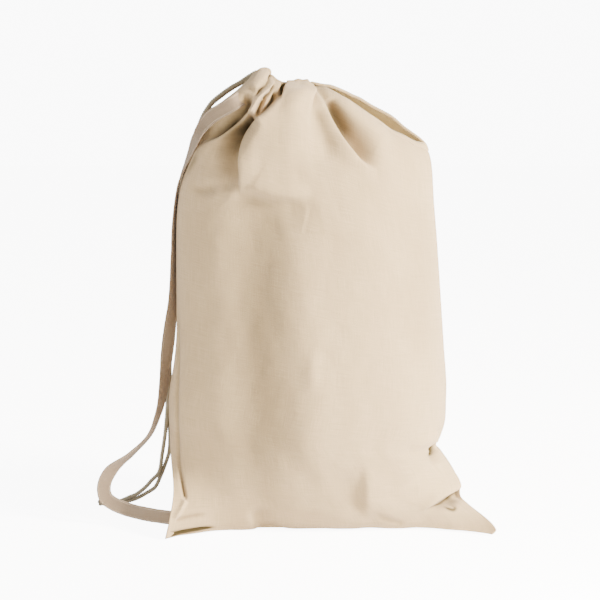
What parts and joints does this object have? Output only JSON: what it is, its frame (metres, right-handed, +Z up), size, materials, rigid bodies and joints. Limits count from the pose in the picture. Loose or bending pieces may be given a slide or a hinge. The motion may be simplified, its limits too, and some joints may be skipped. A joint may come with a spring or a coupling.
{
  "type": "laundry bag",
  "caption": "Drawstring laundry bag of natural cotton canvas, standing full, with a gathered mouth, hanging cord tails and a shoulder strap sewn from the hem to the bottom corner.",
  "frame": {"origin": "on the floor in the middle of the bag's base, on the underside of the bottom seam", "axes": "+Z up, -Y the front panel's side, -X the side with the shoulder strap"},
  "size_m": [0.7326, 0.285, 0.8287],
  "materials": {
    "canvas": "natural unbleached plain-weave cotton canvas, matte",
    "webbing": "flat cotton strap, matte",
    "cord": "twisted cotton drawcord, matte",
    "thread": "sewing thread, matte"
  },
  "bodies": {
    "bag": {"front_panel": "canvas", "back_panel": "canvas", "left_side_seam": "canvas", "right_side_seam": "canvas", "bottom_seam": "canvas", "strap_upper": "webbing", "strap_top_stitches": "thread", "cord_tail_a_shoulder": "cord", "cord_tail_b_shoulder": "cord"},
    "front_mouth": {"front_neck": "canvas", "front_casing": "canvas", "front_casing_stitches": "thread", "drawcord_front_run": "cord"},
    "back_mouth": {"back_neck": "canvas", "back_casing": "canvas", "back_casing_stitches": "thread", "drawcord_back_run": "cord"},
    "strap": {"strap_loop": "webbing", "strap_bottom_stitches": "thread"},
    "cord_tails": {"cord_tail_a_middle": "cord", "cord_tail_b_middle": "cord"},
    "cord_ends": {"cord_tail_a_end": "cord", "cord_tail_b_end": "cord", "cord_knot": "cord"}
  },
  "joints": [
    {"name": "mouth_front_open", "type": "hinge", "parent": "bag", "child": "front_mouth", "pos_m": [-0.112, 0, 0.796], "axis": [0.9564, 0, -0.2922], "range_deg": [0, 45]},
    {"name": "mouth_back_open", "type": "hinge", "parent": "bag", "child": "back_mouth", "pos_m": [-0.112, 0, 0.796], "axis": [0.9564, 0, -0.2922], "range_deg": [-45, 0]},
    {"name": "strap_swing", "type": "hinge", "parent": "bag", "child": "strap", "pos_m": [-0.248, -0.002, 0.587], "axis": [0.0282, 0.1129, 0.9932], "range_deg": [0, 50]},
    {"name": "drawcord_draw", "type": "slide", "parent": "bag", "child": "cord_tails", "axis": [0, 0, 1], "range_m": [0, 0.1], "deforming": ["cord_tail_a_shoulder", "cord_tail_b_shoulder"]},
    {"name": "cord_end_swing", "type": "hinge", "parent": "cord_tails", "child": "cord_ends", "pos_m": [-0.2662, 0.1064, 0.124], "axis": [0, 0, 1], "range_deg": [-80, 10]}
  ],
  "couplings": [
    {"joint": "mouth_back_open", "follows": "mouth_front_open", "ratio": -1},
    {"joint": "drawcord_draw", "follows": "mouth_front_open", "m_per_rad": 0.127}
  ]
}
